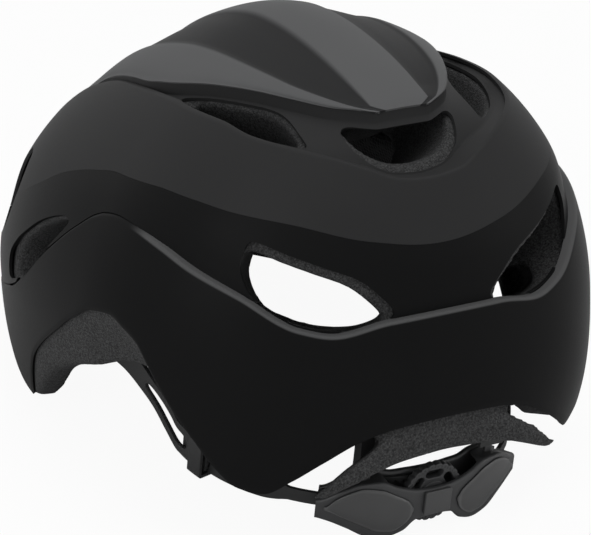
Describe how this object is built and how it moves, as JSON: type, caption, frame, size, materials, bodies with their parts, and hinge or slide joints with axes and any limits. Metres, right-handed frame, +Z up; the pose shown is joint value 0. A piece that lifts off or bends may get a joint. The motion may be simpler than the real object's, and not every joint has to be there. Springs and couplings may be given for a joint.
{
  "type": "bicycle helmet",
  "caption": "Vented road bike helmet: layered outer shells over a foam liner, with a rear cradle that a dial tightens and that tilts for height.",
  "frame": {"origin": "middle of the helmet's box on the table it rests on", "axes": "+Y towards the wearer's front, +X towards the wearer's right, +Z up; the helmet lies on its brow corners and its rear cradle"},
  "size_m": [0.2164, 0.2851, 0.1718],
  "materials": {
    "crown": "satin charcoal polycarbonate",
    "band": "satin dark charcoal polycarbonate",
    "black_shell": "smooth black polycarbonate",
    "foam": "matte beaded black foam",
    "pad_cloth": "soft knitted pad cover",
    "cradle_plastic": "matte dark nylon",
    "insert": "soft grey grip",
    "steel": "small screws",
    "pinion_plastic": "natural nylon"
  },
  "bodies": {
    "helmet": {"crown_shell": "crown", "channel_shell": "band", "upper_band": "band", "side_shell": "black_shell", "lower_shell": "black_shell", "foam_liner": "foam", "crown_pad": "pad_cloth", "brow_pad": "pad_cloth", "side_pads": "pad_cloth", "temple_pins": "cradle_plastic", "height_guides": "cradle_plastic"},
    "cradle": {"cradle_cover": "cradle_plastic", "cradle_base": "cradle_plastic", "wing_inserts": "insert", "centre_tile": "insert", "height_arms": "cradle_plastic", "housing_screws": "steel", "nape_pads": "pad_cloth", "temple_strap_left": "cradle_plastic", "temple_strap_right": "cradle_plastic"},
    "dial": {"dial_wheel": "cradle_plastic", "drive_pinion": "pinion_plastic"},
    "rack_left": {"rack_strap_left": "cradle_plastic"},
    "rack_right": {"rack_strap_right": "cradle_plastic"}
  },
  "joints": [
    {"name": "height_adjust", "type": "hinge", "parent": "helmet", "child": "cradle", "pos_m": [0, -0.0055, 0.04431], "axis": [1, 0, 0], "range_deg": [-1.5, 5]},
    {"name": "dial_turn", "type": "hinge", "parent": "cradle", "child": "dial", "pos_m": [0, -0.12981, 0.01633], "axis": [0, 0.9981, 0.0611], "range_deg": [0, 108]},
    {"name": "rack_left_slide", "type": "hinge", "parent": "cradle", "child": "rack_left", "pos_m": [0, -0.06112, 0.01702], "axis": [0, -0.0611, 0.9981], "range_deg": [0, 8]},
    {"name": "rack_right_slide", "type": "hinge", "parent": "cradle", "child": "rack_right", "pos_m": [0, -0.06112, 0.01702], "axis": [0, -0.0611, 0.9981], "range_deg": [-8, 0]}
  ],
  "couplings": [
    {"joint": "rack_left_slide", "follows": "dial_turn", "ratio": 0.072886},
    {"joint": "rack_right_slide", "follows": "dial_turn", "ratio": -0.072886}
  ]
}
